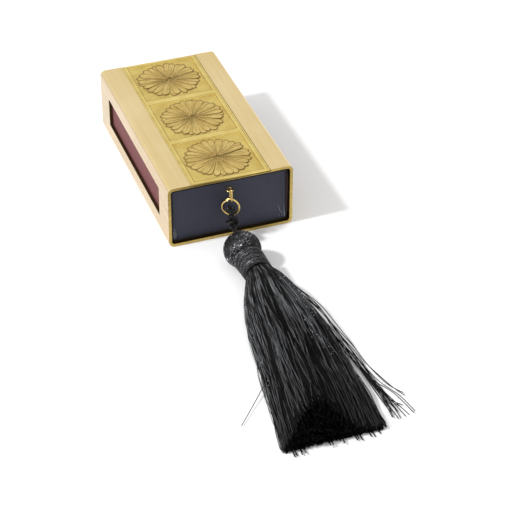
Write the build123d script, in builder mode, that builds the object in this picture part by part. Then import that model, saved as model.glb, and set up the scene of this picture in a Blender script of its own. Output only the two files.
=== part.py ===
from build123d import *
import math
import os

# A matchbox holder in brass, with a matchbox inside whose drawer is pulled by a tassel.
# X runs across the holder, Y along it with the drawer's pull towards -Y, and Z up.
# The origin is the middle of the holder's underside. All sizes are in millimetres.

os.makedirs("parts", exist_ok=True)

# Sizes of the brass sleeve, a bent sheet tube that is open at both ends
holder_width = 66.0
holder_length = 121.0
holder_height = 35.0
brass_wall = 1.5
holder_corner_radius = 3.0
rim_ease = 0.3
window_length = 90.0
window_height = 16.4
window_centre_height = 18.0
cut_overrun = 1.0

# Sizes of the embossed flower panel, a strip let into the top of the sleeve
panel_width = 41.6
panel_thickness = 1.0
panel_side_gap = 0.2
field_count = 3
field_pitch = 40.2
field_width = 37.0
field_length = 35.2
field_depth = 0.5
bead_inset = 0.8
bead_width = 0.5
bead_height = 0.22
groove_inset = 0.7
groove_width = 0.3
groove_depth = 0.15
rosette_radius = 16.2
rosette_hub_radius = 2.3
petal_step = 0.1
petal_tip_sides = 4
hub_sides = 12
seed_radius = 0.5
seed_sides = 5
seed_count = 5
tier_petal_counts = (28, 10)
tier_reach_shares = (1.0, 0.28)
petal_overlap_share = 1.1

# Sizes of the matchbox: a card sleeve with a striker on each long side, and its drawer
carton_length = 116.0
carton_side_gap = 0.5
carton_top_gap = 1.0
card_wall = 0.8
card_corner_radius = 1.0
striker_thickness = 0.2
striker_height = 23.0
tray_side_gap = 0.3
tray_top_gap = 0.6
board_thickness = 1.2
wrap_thickness = 0.25
wrap_turn_in = 4.0

# Sizes of the matches, which lie along the drawer in two layers
match_end_room = 6.55
match_section = 2.4
match_pitch = 3.6
match_head_length = 5.5
match_head_radius = 1.7
match_head_sides = 6
match_gap = 0.05

# Sizes of the pull's brass wire pieces: a split pin, a small link and a jump ring
pull_offset = -0.6
pull_height = 27.7
wire_sides = 5
pin_wire = 0.8
eye_radius = 1.8
throat_radius = 0.6
pin_leg_spacing = 0.9
pin_leg_reach = 6.5
pin_hole_gap = 0.1
link_wire = 0.8
link_end_radius = 1.5
link_length = 7.6
wire_slack = 0.25
ring_wire = 1.0
ring_radius = 4.3
ring_turn = 32.0
ring_lean = 3.0
ring_twist = 4.1
ring_long_end = 216.0
ring_short_end = 166.0

# Sizes of the tassel: cord, knot, covered bead, bound neck and skirt, lying on the table
cord_diameter = 1.8
cord_sides = 4
knot_turns = 2
knot_thread = 1.4
knot_pitch = 1.9
knot_gap = 0.05
winding_sides = 4
head_radius = 9.6
head_side = -3.3
head_forward = 86.6
cover_thickness = 0.5
bead_gap = 0.1
bore_radius = 2.1
neck_side = -2.95
neck_front = 108.4
neck_rear = 92.6
neck_rear_radius = 6.2
neck_front_radius = 5.5
neck_seat_gap = 0.15
thread_diameter = 2.0
thread_gap = 0.1
thread_pitch = 2.7
thread_turns = 4
thread_rear = 95.0
strand_count = 300
strand_root_radius = 0.22
strand_middle_radius = 0.42
strand_end_radius = 0.48
strand_overlap = 0.6
slice_count = 6
slice_margin = 0.26
skirt_middle = 137.0
skirt_end = 221.0
skirt_middle_centre = -0.2
skirt_middle_half_width = 14.1
skirt_middle_height = 17.2
skirt_end_centre = -8.0
skirt_end_half_width = 24.2
skirt_end_height = 18.4
stray_spread = 14.0
ragged_length = 2.4
stray_start_share = 0.88
dome_share = 0.45

# Places that follow from those sizes
bore_width = holder_width - 2 * brass_wall
bore_height = holder_height - 2 * brass_wall
carton_width = bore_width - 2 * carton_side_gap
carton_height = bore_height - carton_top_gap
carton_floor = brass_wall + card_wall
tray_width = carton_width - 2 * card_wall - 2 * tray_side_gap
tray_length = carton_length
tray_height = carton_height - 2 * card_wall - tray_top_gap
tray_front = -tray_length / 2
board_width = tray_width - 2 * wrap_thickness
board_length = tray_length - 2 * wrap_thickness
board_height = tray_height - wrap_thickness
inside_width = board_width - 2 * board_thickness
inside_length = board_length - 2 * board_thickness
tray_inner_floor = carton_floor + board_thickness
match_length = inside_length - 2 * match_end_room
lower_match_count = math.floor((inside_width - 2 * match_head_radius) / match_pitch) + 1


# Brass sleeve: one sheet bent round into a rectangular tube. Both long sides have a
# window through which a match reaches the striker, and the top has a shallow channel.
with BuildPart() as brass_sleeve:
    with BuildSketch(Plane.XZ):
        with Locations((0, holder_height / 2)):
            RectangleRounded(holder_width, holder_height, holder_corner_radius)
            RectangleRounded(
                bore_width, bore_height, holder_corner_radius - brass_wall, mode=Mode.SUBTRACT
            )
    extrude(amount=holder_length / 2, both=True)
    for rim in brass_sleeve.faces().filter_by(Axis.Y):
        chamfer(rim.outer_wire().edges(), length=rim_ease)
    with BuildSketch(Plane.XY.offset(holder_height)):
        Rectangle(panel_width + 2 * panel_side_gap, holder_length + 2 * cut_overrun)
    extrude(amount=-panel_thickness, mode=Mode.SUBTRACT)
    with BuildSketch(Plane.YZ.offset(-holder_width / 2 - cut_overrun)):
        with Locations((0, window_centre_height)):
            Rectangle(window_length, window_height)
    extrude(amount=holder_width + 2 * cut_overrun, mode=Mode.SUBTRACT)
brass_sleeve.part.label = "brass_sleeve"
export_step(brass_sleeve.part, "parts/brass_sleeve.step")


# One rosette of the panel: long petals in low relief round a ring of short ones, every
# second petal one step higher, so that it seems to lie over its neighbours, and a seeded eye.
def petal_outline(reach, count):
    """Draw one petal from the middle of the flower to its round tip, along +X."""
    fullness = math.sin(math.pi / count) * petal_overlap_share
    tip_radius = reach * fullness / (1 + fullness)
    tip_centre = reach - tip_radius
    half_angle = math.asin(tip_radius / tip_centre)
    shoulder_angle = math.pi / 2 + half_angle
    tip_points = []
    for step in range(petal_tip_sides + 1):
        angle = shoulder_angle * (2 * step / petal_tip_sides - 1)
        tip_points.append((tip_centre + tip_radius * math.cos(angle), tip_radius * math.sin(angle)))
    with BuildSketch() as petal:
        with BuildLine():
            Polyline((0, 0), *tip_points, close=True)
        make_face()
    return petal.sketch


field_floor = holder_height - field_depth
with BuildPart() as rosette:
    layer_height = 0
    for petal_count, reach_share in zip(tier_petal_counts, tier_reach_shares):
        petal = petal_outline(rosette_radius * reach_share, petal_count)
        for half_step in (0, 180 / (petal_count / 2)):
            layer_height += petal_step
            with BuildSketch(Plane.XY.offset(field_floor)):
                RegularPolygon(radius=rosette_hub_radius, side_count=hub_sides)
                with PolarLocations(0, petal_count // 2, start_angle=half_step):
                    add(petal)
            extrude(amount=layer_height)
    with BuildSketch(Plane.XY.offset(field_floor)):
        RegularPolygon(radius=seed_radius, side_count=seed_sides)
        with PolarLocations(rosette_hub_radius - 2 * seed_radius, seed_count):
            RegularPolygon(radius=seed_radius, side_count=seed_sides)
    extrude(amount=field_depth)


# Flower panel: an embossed brass strip along the whole top, with three sunk square fields,
# each framed by a fine bead and filled by a rosette, and a groove along both long edges.
with BuildPart() as flower_panel:
    with BuildSketch(Plane.XY.offset(holder_height)):
        Rectangle(panel_width, holder_length - 2 * rim_ease)
    extrude(amount=-panel_thickness)
    with BuildSketch(Plane.XY.offset(holder_height)):
        with GridLocations(0, field_pitch, 1, field_count):
            Rectangle(field_width, field_length)
    extrude(amount=-field_depth, mode=Mode.SUBTRACT)
    with BuildSketch(Plane.XY.offset(holder_height)):
        with GridLocations(panel_width - 2 * groove_inset, 0, 2, 1):
            Rectangle(groove_width, holder_length)
    extrude(amount=-groove_depth, mode=Mode.SUBTRACT)
    with BuildSketch(Plane.XY.offset(field_floor)):
        with GridLocations(0, field_pitch, 1, field_count):
            Rectangle(field_width - 2 * bead_inset, field_length - 2 * bead_inset)
            Rectangle(
                field_width - 2 * bead_inset - 2 * bead_width,
                field_length - 2 * bead_inset - 2 * bead_width,
                mode=Mode.SUBTRACT,
            )
    extrude(amount=bead_height)
    with GridLocations(0, field_pitch, 1, field_count):
        add(rosette.part)
flower_panel.part.label = "flower_panel"
export_step(flower_panel.part, "parts/flower_panel.step")


# Carton: the matchbox's outer sleeve of thin card, which rests on the floor of the brass
# sleeve and slides out of either end when the matches are used up.
with BuildPart() as carton:
    with BuildSketch(Plane.XZ):
        with Locations((0, brass_wall + carton_height / 2)):
            RectangleRounded(carton_width, carton_height, card_corner_radius)
            Rectangle(
                carton_width - 2 * card_wall, carton_height - 2 * card_wall, mode=Mode.SUBTRACT
            )
    extrude(amount=carton_length / 2, both=True)
carton.part.label = "carton"
export_step(carton.part, "parts/carton.step")


# Strikers: a strip of rough red-brown composition on each long side of the carton.
def striker_strip(side_x):
    """Make the strip whose inner face lies on the carton at side_x."""
    outward = math.copysign(striker_thickness, side_x)
    with BuildPart() as strip:
        with BuildSketch(Plane.YZ.offset(side_x)):
            with Locations((0, brass_wall + carton_height / 2)):
                Rectangle(carton_length, striker_height)
        extrude(amount=outward)
    return strip


striker_left = striker_strip(-carton_width / 2)
striker_left.part.label = "striker_left"
export_step(striker_left.part, "parts/striker_left.step")

striker_right = striker_strip(carton_width / 2)
striker_right.part.label = "striker_right"
export_step(striker_right.part, "parts/striker_right.step")


# Tray board: the drawer, a shallow box of greyboard that is open at the top. A small slot
# near the top of its front wall takes the two legs of the split pin.
with BuildPart() as tray_board:
    with BuildSketch(Plane.XY.offset(carton_floor)):
        Rectangle(board_width, board_length)
    extrude(amount=board_height)
    with BuildSketch(Plane.XY.offset(tray_inner_floor)):
        Rectangle(inside_width, inside_length)
    extrude(amount=board_height, mode=Mode.SUBTRACT)
    with BuildSketch(Plane.XZ.offset(-tray_front)):
        with Locations((pull_offset, pull_height)):
            Rectangle(pin_leg_spacing + pin_wire + 2 * pin_hole_gap, pin_wire + 2 * pin_hole_gap)
    extrude(amount=-(wrap_thickness + board_thickness + cut_overrun), mode=Mode.SUBTRACT)
tray_board.part.label = "tray_board"
export_step(tray_board.part, "parts/tray_board.step")


# Tray wrap: dark ribbed bookcloth glued round the drawer's four walls, turned over the rim
# and a little way down inside.
with BuildPart() as tray_wrap:
    with BuildSketch(Plane.XY.offset(carton_floor)):
        Rectangle(tray_width, tray_length)
        Rectangle(board_width, board_length, mode=Mode.SUBTRACT)
    extrude(amount=tray_height)
    with BuildSketch(Plane.XY.offset(carton_floor + board_height)):
        Rectangle(board_width, board_length)
        Rectangle(inside_width, inside_length, mode=Mode.SUBTRACT)
    extrude(amount=wrap_thickness)
    with BuildSketch(Plane.XY.offset(carton_floor + tray_height)):
        Rectangle(inside_width, inside_length)
        Rectangle(
            inside_width - 2 * wrap_thickness, inside_length - 2 * wrap_thickness, mode=Mode.SUBTRACT
        )
    extrude(amount=-wrap_turn_in)
    with BuildSketch(Plane.XZ.offset(-tray_front)):
        with Locations((pull_offset, pull_height)):
            Rectangle(pin_leg_spacing + pin_wire + 2 * pin_hole_gap, pin_wire + 2 * pin_hole_gap)
    extrude(amount=-(wrap_thickness + board_thickness + cut_overrun), mode=Mode.SUBTRACT)
tray_wrap.part.label = "tray_wrap"
export_step(tray_wrap.part, "parts/tray_wrap.step")


# Matches: square splints with their heads towards the pull. The upper layer lies in the
# hollows between the heads of the lower one.
upper_match_count = lower_match_count - 1
head_pitch = 2 * match_head_radius + match_gap
lower_match_height = tray_inner_floor + match_head_radius + match_gap
layer_rise = math.sqrt(head_pitch**2 - (match_pitch / 2) ** 2)
upper_match_height = lower_match_height + layer_rise
head_tip_y = -match_length / 2
head_base_y = head_tip_y + match_head_length
match_layers = (
    (lower_match_height, lower_match_count),
    (upper_match_height, upper_match_count),
)

with BuildPart() as match_sticks:
    for layer_z, match_count in match_layers:
        with BuildSketch(Plane.XZ.offset(-head_base_y)):
            with Locations((0, layer_z)):
                with GridLocations(match_pitch, 0, match_count, 1):
                    Rectangle(match_section, match_section)
        extrude(amount=-(match_length - match_head_length))
match_sticks.part.label = "match_sticks"
export_step(match_sticks.part, "parts/match_sticks.step")


# Ringed solids: closed solids built up from flat faces between many-sided rings.
def ringed_solid(rings):
    """Build a closed solid from rings of corners, each joined to the next."""
    faces = [Face(Wire.make_polygon(ring, close=True)) for ring in (rings[0], rings[-1])]
    for low_ring, high_ring in zip(rings, rings[1:]):
        for side in range(len(low_ring)):
            corners = (low_ring[side - 1], low_ring[side], high_ring[side], high_ring[side - 1])
            faces.append(Face(Wire.make_polygon(corners, close=True)))
    return Solid(Shell(faces))


def turned_solid(base, stations, radii, sides):
    """Build a ringed solid round the base plane's axis from its stations' radii."""
    angles = [2 * math.pi * side / sides for side in range(sides)]
    rings = []
    for station, radius in zip(stations, radii):
        corners = [Vector(radius * math.cos(a), radius * math.sin(a), station) for a in angles]
        rings.append([base.from_local_coords(corner) for corner in corners])
    return ringed_solid(rings)


# Each head swells from the splint's end and narrows to its tip: station and radius are
# shares of the head's length and of its radius.
head_station_shares = (0.0, 0.5, 1.0)
head_radius_shares = (0.75, 1.0, 0.45)
one_head = turned_solid(
    Plane(origin=(0, head_base_y, 0), x_dir=(1, 0, 0), z_dir=(0, -1, 0)),
    [match_head_length * share for share in head_station_shares],
    [match_head_radius * share for share in head_radius_shares],
    match_head_sides,
)

with BuildPart() as match_heads:
    for layer_z, match_count in match_layers:
        with Locations((0, 0, layer_z)):
            with GridLocations(match_pitch, 0, match_count, 1):
                add(one_head)
match_heads.part.label = "match_heads"
export_step(match_heads.part, "parts/match_heads.step")


# Split pin: one brass wire bent into a level eye in front of the drawer. Its two legs pass
# through the slot side by side and are opened out flat against the inside of the wall.
half_spacing = pin_leg_spacing / 2
throat_depth = math.sqrt(
    (eye_radius + throat_radius) ** 2 - (half_spacing + throat_radius) ** 2
)
eye_centre_y = tray_front - throat_depth
eye_share = eye_radius / (eye_radius + throat_radius)
mouth_x = (half_spacing + throat_radius) * eye_share
mouth_y = throat_depth * eye_share
throat_swing = math.atan2(throat_depth, half_spacing + throat_radius) / 2
throat_mid_x = half_spacing + throat_radius - throat_radius * math.cos(throat_swing)
throat_mid_y = throat_depth - throat_radius * math.sin(throat_swing)
leg_y = throat_depth + wrap_thickness + board_thickness + wrap_thickness + pin_wire / 2 + pin_hole_gap
bend_start_y = leg_y - throat_radius
bend_mid_x = half_spacing + throat_radius * (1 - math.sqrt(0.5))
bend_mid_y = bend_start_y + throat_radius * math.sqrt(0.5)
bend_end_x = half_spacing + throat_radius
leg_end_x = half_spacing + pin_leg_reach
eye_plane = Plane(origin=(pull_offset, eye_centre_y, pull_height))

with BuildPart() as split_pin:
    with BuildLine(eye_plane) as pin_path:
        Line((leg_end_x, leg_y), (bend_end_x, leg_y))
        ThreePointArc((bend_end_x, leg_y), (bend_mid_x, bend_mid_y), (half_spacing, bend_start_y))
        Line((half_spacing, bend_start_y), (half_spacing, throat_depth))
        ThreePointArc(
            (half_spacing, throat_depth), (throat_mid_x, throat_mid_y), (mouth_x, mouth_y)
        )
        ThreePointArc((mouth_x, mouth_y), (0, -eye_radius), (-mouth_x, mouth_y))
        ThreePointArc(
            (-mouth_x, mouth_y), (-throat_mid_x, throat_mid_y), (-half_spacing, throat_depth)
        )
        Line((-half_spacing, throat_depth), (-half_spacing, bend_start_y))
        ThreePointArc((-half_spacing, bend_start_y), (-bend_mid_x, bend_mid_y), (-bend_end_x, leg_y))
        Line((-bend_end_x, leg_y), (-leg_end_x, leg_y))
    pin_start = Plane(origin=pin_path.line @ 0, x_dir=eye_plane.z_dir, z_dir=pin_path.line % 0)
    with BuildSketch(pin_start):
        RegularPolygon(radius=pin_wire / 2, side_count=wire_sides)
    sweep(path=pin_path.line)
split_pin.part.label = "split_pin"
export_step(split_pin.part, "parts/split_pin.step")


# Small link: an oval brass link that hangs from the front of the eye, in the plane that
# runs along the drawer.
eye_front_y = eye_centre_y - eye_radius
link_inner_radius = link_end_radius - link_wire / 2
link_top_centre = pull_height - (link_inner_radius - pin_wire / 2 - wire_slack)
link_straight = link_length - 2 * link_end_radius - link_wire
link_bottom_centre = link_top_centre - link_straight
link_plane = Plane(
    origin=(pull_offset, eye_front_y, link_top_centre - link_straight / 2),
    x_dir=(0, 1, 0),
    z_dir=(1, 0, 0),
)
half_straight = link_straight / 2
with BuildPart() as small_link:
    with BuildLine(link_plane) as link_path:
        Line((link_end_radius, -half_straight), (link_end_radius, half_straight))
        ThreePointArc(
            (link_end_radius, half_straight),
            (0, half_straight + link_end_radius),
            (-link_end_radius, half_straight),
        )
        Line((-link_end_radius, half_straight), (-link_end_radius, -half_straight))
        ThreePointArc(
            (-link_end_radius, -half_straight),
            (0, -half_straight - link_end_radius),
            (link_end_radius, -half_straight),
        )
    link_start = Plane(origin=link_path.line @ 0, x_dir=link_plane.z_dir, z_dir=link_path.line % 0)
    with BuildSketch(link_start):
        RegularPolygon(radius=link_wire / 2, side_count=wire_sides)
    sweep(path=link_path.line)
small_link.part.label = "small_link"
export_step(small_link.part, "parts/small_link.step")


# Jump ring: an open ring of thicker wire, twisted a little so that its ends lie side by
# side at the upper left. It hangs in the link, turned to the left as the tassel pulls it.
turn = math.radians(ring_turn)
ring_along = Vector(math.cos(turn), -math.sin(turn), 0)
ring_front = Vector(-math.sin(turn), -math.cos(turn), 0)
straight_up = Vector(0, 0, 1)


def leaning_up(lean_degrees):
    """Give the upward direction of a half ring that leans back by so many degrees."""
    lean = math.radians(lean_degrees)
    return straight_up * math.cos(lean) - ring_front * math.sin(lean)


ring_top_height = link_bottom_centre - (link_inner_radius - ring_wire / 2 - wire_slack)
ring_top = Vector(pull_offset, eye_front_y, ring_top_height)
rear_up = leaning_up(ring_lean + ring_twist)
front_up = leaning_up(ring_lean - ring_twist)
ring_bottom = ring_top - rear_up * (2 * ring_radius)
rear_axis = Axis(ring_bottom + rear_up * ring_radius, ring_along.cross(rear_up))
front_axis = Axis(ring_bottom + front_up * ring_radius, front_up.cross(ring_along))
ring_section = Plane(origin=ring_bottom, z_dir=ring_along)
with BuildPart() as jump_ring:
    with BuildSketch(ring_section):
        RegularPolygon(radius=ring_wire / 2, side_count=wire_sides)
    revolve(axis=rear_axis, revolution_arc=ring_long_end)
    with BuildSketch(ring_section):
        RegularPolygon(radius=ring_wire / 2, side_count=wire_sides)
    revolve(axis=front_axis, revolution_arc=ring_short_end)
jump_ring.part.label = "jump_ring"
export_step(jump_ring.part, "parts/jump_ring.step")


# Tassel cord: a black cord that loops through the bottom of the ring. Its two legs run
# side by side through the knot and into the bore of the head.
cord_route = [
    (-2.35, -83.6, 9.6),
    (-2.35, -77.0, 9.6),
    (-3.08, -69.82, 12.18),
    (-2.29, -65.0, 13.95),
    (-1.6, -64.65, 17.47),
    (-0.24, -61.38, 17.47),
    (-0.24, -61.38, 12.82),
    (-1.26, -63.83, 12.82),
    (-0.41, -65.31, 13.95),
    (-1.21, -70.13, 12.18),
    (-4.25, -77.0, 9.6),
    (-4.25, -83.6, 9.6),
]


def largest_radii(route):
    """Give each corner of a route the largest arc that its two runs allow."""
    points = [Vector(*point) for point in route]
    radii = []
    for before, corner, after in zip(points, points[1:], points[2:]):
        arriving = corner - before
        leaving = after - corner
        half_turn = math.radians(arriving.get_angle(leaving)) / 2
        shorter_run_share = 0.45
        radii.append(shorter_run_share * min(arriving.length, leaving.length) / math.tan(half_turn))
    return radii


cord_radii = largest_radii(cord_route)
print("cord radii", [round(radius, 1) for radius in cord_radii])
with BuildPart() as tassel_cord:
    with BuildLine() as cord_path:
        FilletPolyline(*cord_route, radius=cord_radii)
    with BuildSketch(Plane(origin=cord_path.line @ 0, z_dir=cord_path.line % 0)):
        RegularPolygon(radius=cord_diameter / 2, side_count=cord_sides)
    sweep(path=cord_path.line)
print("cord length", round(cord_path.wire().length, 1))
tassel_cord.part.label = "tassel_cord"
export_step(tassel_cord.part, "parts/tassel_cord.step")


# Windings: one unbroken thread wound round an axis, drawn as two arcs to a quarter turn.
def wind_quarter(start, start_way, end, end_way):
    """Draw two tangent arcs from start to end that leave and arrive in the given ways."""
    reach = end - start
    spread = 2 * (1 - start_way.dot(end_way))
    along = reach.dot(start_way + end_way)
    handle = (math.sqrt(along**2 + spread * reach.dot(reach)) - along) / spread
    joint = (start + end + (start_way - end_way) * handle) / 2
    joint_way = ((end - end_way * handle) - (start + start_way * handle)).normalized()
    TangentArc(start, joint, tangent=start_way)
    TangentArc(joint, end, tangent=joint_way)


def wound_thread(name, base, turns, pitch, first_radius, last_radius, diameter):
    """Wind a thread round the base plane's axis and print its least gap to itself."""
    quarters = 4 * turns
    stations = []
    for quarter in range(quarters + 1):
        angle = quarter * math.pi / 2
        radius = first_radius + (last_radius - first_radius) * quarter / quarters
        climb = pitch * quarter / 4
        growth = (last_radius - first_radius) / (turns * 2 * math.pi)
        place = Vector(radius * math.cos(angle), radius * math.sin(angle), climb)
        way = Vector(
            growth * math.cos(angle) - radius * math.sin(angle),
            growth * math.sin(angle) + radius * math.cos(angle),
            pitch / (2 * math.pi),
        )
        lifted = base.from_local_coords(place)
        lifted_way = base.from_local_coords(place + way.normalized()) - lifted
        stations.append((lifted, lifted_way))
    with BuildPart() as thread:
        with BuildLine() as thread_path:
            for (start, start_way), (end, end_way) in zip(stations, stations[1:]):
                wind_quarter(start, start_way, end, end_way)
        with BuildSketch(Plane(origin=stations[0][0], z_dir=stations[0][1])):
            RegularPolygon(radius=diameter / 2, side_count=winding_sides)
        sweep(path=thread_path.line)
    samples_a_turn = 48
    samples = samples_a_turn * turns
    points = [thread_path.wire() @ (step / samples) for step in range(samples + 1)]
    half_a_turn = samples_a_turn // 2
    least = min(
        (points[first] - points[second]).length
        for first in range(len(points))
        for second in range(first + half_a_turn, len(points))
    )
    print(name, "least gap to itself", round(least - diameter, 2))
    return thread


# Cord knot: two turns of the cord drawn tight round both legs, just below the ring.
left_rear = Vector(*cord_route[3])
left_front = Vector(*cord_route[2])
right_rear = Vector(*cord_route[8])
right_front = Vector(*cord_route[9])
knot_middle = (left_rear + left_front + right_rear + right_front) / 4
knot_way = (left_front + right_front - left_rear - right_rear).normalized()
knot_side = (left_rear - right_rear).normalized()
legs_reach = (left_rear - right_rear).length / 2 + cord_diameter / 2
knot_radius = legs_reach + knot_gap + knot_thread / 2
knot_start = knot_middle - knot_way * (knot_turns * knot_pitch / 2)
cord_knot = wound_thread(
    "cord_knot",
    Plane(origin=knot_start, x_dir=knot_side, z_dir=knot_way),
    knot_turns,
    knot_pitch,
    knot_radius,
    knot_radius,
    knot_thread,
)
cord_knot.part.label = "cord_knot"
export_step(cord_knot.part, "parts/cord_knot.step")


# Head: a round wooden bead, bored for the cord, inside a cover of fine net drawn together
# at both poles. Both are built up from many-sided rings, as the net pulls into small flats.
head_centre = Vector(head_side, -head_forward, head_radius)
rear_pole = head_centre + Vector(0, head_radius, 0)
cover_sides = 20
cover_rings = 10
lining_sides = 12
lining_rings = 7
pole_share = 1.3


def ball_of_rings(radius, sides, rings):
    """Build a ball along Y that is flat at both poles."""
    pole_angle = math.asin(bore_radius * pole_share / radius)
    angles = [pole_angle + (math.pi - 2 * pole_angle) * ring / (rings - 1) for ring in range(rings)]
    base = Plane(origin=head_centre, x_dir=(0, 0, 1), z_dir=(0, -1, 0))
    stations = [-radius * math.cos(angle) for angle in angles]
    radii = [radius * math.sin(angle) for angle in angles]
    return turned_solid(base, stations, radii, sides)


lining_radius = head_radius - cover_thickness
bead_radius = lining_radius - bead_gap
bore_plane = Plane(origin=rear_pole, z_dir=(0, -1, 0))

with BuildPart() as head_bead:
    add(ball_of_rings(bead_radius, lining_sides, lining_rings))
    with BuildSketch(bore_plane):
        RegularPolygon(radius=bore_radius, side_count=lining_sides)
    extrude(amount=2 * head_radius, mode=Mode.SUBTRACT)
head_bead.part.label = "head_bead"
export_step(head_bead.part, "parts/head_bead.step")

with BuildPart() as head_cover:
    add(ball_of_rings(head_radius, cover_sides, cover_rings))
    add(ball_of_rings(lining_radius, lining_sides, lining_rings), mode=Mode.SUBTRACT)
    with BuildSketch(bore_plane):
        RegularPolygon(radius=bore_radius, side_count=lining_sides)
    extrude(amount=2 * head_radius, mode=Mode.SUBTRACT)
head_cover.part.label = "head_cover"
export_step(head_cover.part, "parts/head_cover.step")


# Neck binding: heavy thread wound round the bundle below the head, each turn a little
# smaller than the one before it.
neck_length = neck_front - neck_rear
thread_run = thread_turns * thread_pitch


def neck_radius_at(forward):
    """Give the bundle's radius at a distance in front of the origin."""
    share = (forward - neck_rear) / neck_length
    return neck_rear_radius + (neck_front_radius - neck_rear_radius) * share


thread_stand_off = thread_gap + thread_diameter / 2
neck_binding = wound_thread(
    "neck_binding",
    Plane(origin=(neck_side, -thread_rear, head_radius), x_dir=(1, 0, 0), z_dir=(0, -1, 0)),
    thread_turns,
    thread_pitch,
    neck_radius_at(thread_rear) + thread_stand_off,
    neck_radius_at(thread_rear + thread_run) + thread_stand_off,
    thread_diameter,
)
neck_binding.part.label = "neck_binding"
export_step(neck_binding.part, "parts/neck_binding.step")


# Skirt: several hundred black threads that leave the bound bundle as a round brush, fan
# out and settle on the table. The bundle is in upright slices, each with its own threads.
# A thread is set by its place in the round bundle, from -1 to 1 across and up; further on
# it keeps its order across and up, so that no two cross.
golden_angle = math.pi * (3 - math.sqrt(5))


def bundle_place(strand):
    """Spread the strands evenly over a unit disc."""
    radius = math.sqrt((strand + 0.5) / strand_count)
    angle = strand * golden_angle
    return radius * math.cos(angle), radius * math.sin(angle)


def fanned_place(across, up, centre, half_width, height, strand_radius, spread):
    """Place a strand in a flat-bottomed, round-topped section of the skirt."""
    chord = math.sqrt(1 - across**2)
    rise_share = (up / chord + 1) / 2
    lowest = strand_radius / 2
    highest = lowest + (height - 2 * strand_radius) * (1 - across**2) ** dome_share
    stray_share = max(0, across - stray_start_share) / (1 - stray_start_share)
    side = centre + half_width * across + spread * stray_share**2
    return side, lowest + (highest - lowest) * rise_share


def strand_section(side, forward, height, radius):
    """Give the corners of a strand's three-sided section, with one side level below."""
    corners = []
    for corner_angle in (90, 210, 330):
        corner = math.radians(corner_angle)
        place = (side + radius * math.cos(corner), -forward, height + radius * math.sin(corner))
        corners.append(Vector(*place))
    return corners


slice_width = 2 * neck_rear_radius / slice_count
root_reach = neck_front_radius - 2 * strand_root_radius


def slice_of(across):
    """Give the number of the slice that a strand is rooted in."""
    return math.floor((root_reach * across + neck_rear_radius) / slice_width)


def root_side(across):
    """Place a strand's root across the bundle, clear of its slice's two cut faces."""
    slice_side = neck_side - neck_rear_radius + (slice_of(across) + 0.5) * slice_width
    inward = 1 - 2 * slice_margin / slice_width
    return slice_side + (neck_side + root_reach * across - slice_side) * inward


def strand_solid(across, up, raggedness):
    """Run one strand through the root, the middle and the end of the skirt."""
    root = (root_side(across), head_radius + root_reach * up)
    middle = fanned_place(
        across,
        up,
        skirt_middle_centre,
        skirt_middle_half_width,
        skirt_middle_height,
        strand_middle_radius,
        0,
    )
    end = fanned_place(
        across,
        up,
        skirt_end_centre,
        skirt_end_half_width,
        skirt_end_height,
        strand_end_radius,
        stray_spread,
    )
    sections = [
        strand_section(root[0], neck_front - strand_overlap, root[1], strand_root_radius),
        strand_section(middle[0], skirt_middle, middle[1], strand_middle_radius),
        strand_section(end[0], skirt_end - ragged_length * raggedness, end[1], strand_end_radius),
    ]
    return ringed_solid(sections)


ragged_step_share = 0.618
slice_strands = [[] for _ in range(slice_count)]
for strand in range(strand_count):
    across, up = bundle_place(strand)
    slice_strands[slice_of(across)].append(strand_solid(across, up, strand * ragged_step_share % 1))


def skirt_slice(slice_number):
    """Make one upright slice of the bundle and fuse its own strands to it."""
    slice_side = neck_side - neck_rear_radius + (slice_number + 0.5) * slice_width
    bundle_rear = Plane(origin=(neck_side, -neck_rear, head_radius), x_dir=(1, 0, 0), z_dir=(0, -1, 0))
    bundle_radii = (neck_rear_radius, neck_front_radius)
    with BuildPart() as bundle_slice:
        add(turned_solid(bundle_rear, (0, neck_length), bundle_radii, cover_sides))
        add(ball_of_rings(head_radius + neck_seat_gap, cover_sides, cover_rings), mode=Mode.SUBTRACT)
        with Locations((slice_side, -(neck_rear + neck_front) / 2, head_radius)):
            Box(slice_width, 2 * neck_length, 4 * neck_rear_radius, mode=Mode.INTERSECT)
        add(slice_strands[slice_number], clean=False)
    return bundle_slice.part


with BuildPart() as skirt:
    add([skirt_slice(slice_number) for slice_number in range(slice_count)], mode=Mode.REPLACE)
skirt.part.label = "skirt"
export_step(skirt.part, "parts/skirt.step")
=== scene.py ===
import math
import random

import bmesh
import bpy
from mathutils import Matrix, Vector, noise


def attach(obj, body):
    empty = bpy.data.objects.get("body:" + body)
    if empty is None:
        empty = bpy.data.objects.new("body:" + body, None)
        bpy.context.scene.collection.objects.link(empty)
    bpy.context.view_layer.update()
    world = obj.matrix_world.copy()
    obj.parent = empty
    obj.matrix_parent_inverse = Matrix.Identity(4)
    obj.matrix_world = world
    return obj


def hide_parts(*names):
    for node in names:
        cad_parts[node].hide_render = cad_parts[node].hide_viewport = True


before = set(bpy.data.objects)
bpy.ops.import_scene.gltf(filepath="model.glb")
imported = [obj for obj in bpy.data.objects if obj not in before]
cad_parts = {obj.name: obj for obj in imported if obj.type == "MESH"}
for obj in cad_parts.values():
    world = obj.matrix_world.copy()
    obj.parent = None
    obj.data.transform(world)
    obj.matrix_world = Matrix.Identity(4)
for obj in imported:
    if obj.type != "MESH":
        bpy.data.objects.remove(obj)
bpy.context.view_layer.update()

# Camera. It looks down at the holder's front from the left, as the photograph does, with
# a long lens. Its axes and place are in the shared frame, in metres.
def new_object(name, data):
    """Make an object from its data and link it to the scene."""
    made = bpy.data.objects.new(name, data)
    bpy.context.scene.collection.objects.link(made)
    return made


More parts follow.
